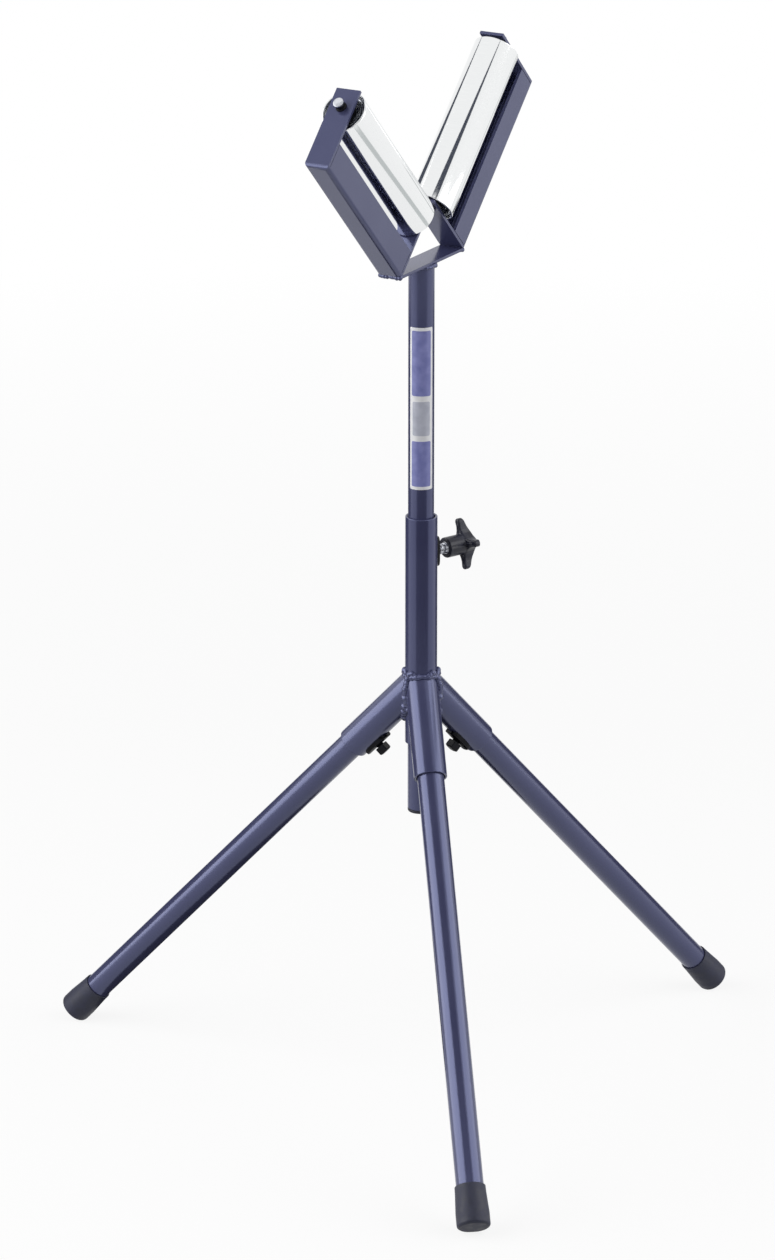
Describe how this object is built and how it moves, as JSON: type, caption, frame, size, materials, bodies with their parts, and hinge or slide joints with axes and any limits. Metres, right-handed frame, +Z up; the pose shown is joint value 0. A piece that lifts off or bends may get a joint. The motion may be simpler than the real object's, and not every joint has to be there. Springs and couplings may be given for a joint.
{
  "type": "v roller stand",
  "caption": "Tripod stand with a telescopic mast, held by a cross knob, that carries steel rollers set in a V for pipe and bar.",
  "frame": {"origin": "on the floor, under the middle of the box round the feet", "axes": "+Z up the mast; the rollers lie in the XZ plane, so a pipe on them runs along Y"},
  "size_m": [0.676, 0.6292, 1.0246],
  "materials": {
    "paint": "semi-gloss violet blue powder coat",
    "chrome": "polished chrome plate",
    "bright_steel": "bright zinc plate",
    "black_steel": "satin black oxide",
    "black_rubber": "matt moulded rubber",
    "black_plastic": "semi-gloss moulded plastic"
  },
  "bodies": {
    "stand": {"mast_sleeve": "paint", "clamp_pad": "black_steel", "socket_left": "paint", "socket_right": "paint", "socket_front": "paint", "pad_left": "black_steel", "pad_right": "black_steel", "pad_front": "black_steel"},
    "mast_foot": {"mast_plug": "black_plastic"},
    "mast": {"mast_tube": "paint", "base_plate": "paint", "bracket_left": "paint", "bracket_right": "paint", "axle_left": "bright_steel", "axle_right": "bright_steel", "axle_nut_left_lower": "bright_steel", "axle_nut_left_upper": "bright_steel", "axle_nut_right_lower": "bright_steel", "axle_nut_right_upper": "bright_steel", "bearing_inner_left_lower": "bright_steel", "bearing_inner_left_upper": "bright_steel", "bearing_inner_right_lower": "bright_steel", "bearing_inner_right_upper": "bright_steel"},
    "roller_left": {"roller_left": "chrome", "roller_hub_left_lower": "black_steel", "roller_hub_left_upper": "black_steel", "bearing_outer_left_lower": "bright_steel", "bearing_outer_left_upper": "bright_steel"},
    "roller_right": {"roller_right": "chrome", "roller_hub_right_lower": "black_steel", "roller_hub_right_upper": "black_steel", "bearing_outer_right_lower": "bright_steel", "bearing_outer_right_upper": "bright_steel"},
    "clamp_screw": {"clamp_screw": "bright_steel"},
    "clamp_knob": {"clamp_knob": "black_plastic", "knob_bush": "bright_steel"},
    "leg_left": {"leg_tube_left": "paint", "foot_left": "black_rubber"},
    "leg_screw_left": {"leg_screw_left": "black_steel"},
    "leg_right": {"leg_tube_right": "paint", "foot_right": "black_rubber"},
    "leg_screw_right": {"leg_screw_right": "black_steel"},
    "leg_front": {"leg_tube_front": "paint", "foot_front": "black_rubber"},
    "leg_screw_front": {"leg_screw_front": "black_steel"}
  },
  "joints": [
    {"name": "mast_slide", "type": "slide", "parent": "stand", "child": "mast_foot", "axis": [0, 0, 1], "range_m": [-0.245, 0.19]},
    {"name": "mast_turn", "type": "hinge", "parent": "mast_foot", "child": "mast", "pos_m": [-0.02304, -0.07241, 0.41496], "axis": [0, 0, 1], "continuous": true},
    {"name": "roller_left_spin", "type": "hinge", "parent": "mast", "child": "roller_left", "pos_m": [-0.03723, -0.07241, 0.87578], "axis": [-0.7071, 0, 0.7071], "continuous": true},
    {"name": "roller_right_spin", "type": "hinge", "parent": "mast", "child": "roller_right", "pos_m": [-0.00886, -0.07241, 0.87578], "axis": [0.7071, 0, 0.7071], "continuous": true},
    {"name": "clamp_screw_travel", "type": "slide", "parent": "stand", "child": "clamp_screw", "axis": [0.9205, -0.3907, 0], "range_m": [0, 0.0046]},
    {"name": "clamp_knob_turn", "type": "hinge", "parent": "clamp_screw", "child": "clamp_knob", "pos_m": [-0.02258, -0.0726, 0.54196], "axis": [0.9205, -0.3907, 0], "range_deg": [0, 1080]},
    {"name": "leg_left_slide", "type": "slide", "parent": "stand", "child": "leg_left", "axis": [-0.0831, 0.6769, -0.7314], "range_m": [0, 0.038]},
    {"name": "leg_screw_left_turn", "type": "hinge", "parent": "stand", "child": "leg_screw_left", "pos_m": [-0.02952, -0.01608, 0.3539], "axis": [0.0891, -0.7259, -0.682], "range_deg": [0, 720]},
    {"name": "leg_right_slide", "type": "slide", "parent": "stand", "child": "leg_right", "axis": [0.6278, -0.2665, -0.7314], "range_m": [0, 0.038]},
    {"name": "leg_screw_right_turn", "type": "hinge", "parent": "stand", "child": "leg_screw_right", "pos_m": [0.02984, -0.09485, 0.3539], "axis": [-0.6732, 0.2858, -0.682], "range_deg": [0, 720]},
    {"name": "leg_front_slide", "type": "slide", "parent": "stand", "child": "leg_front", "axis": [-0.5447, -0.4104, -0.7314], "range_m": [0, 0.038]},
    {"name": "leg_screw_front_turn", "type": "hinge", "parent": "stand", "child": "leg_screw_front", "pos_m": [-0.06806, -0.10687, 0.3539], "axis": [0.5841, 0.4401, -0.682], "range_deg": [0, 720]}
  ],
  "couplings": [
    {"joint": "clamp_screw_travel", "follows": "clamp_knob_turn", "m_per_rad": 0.0002387}
  ]
}
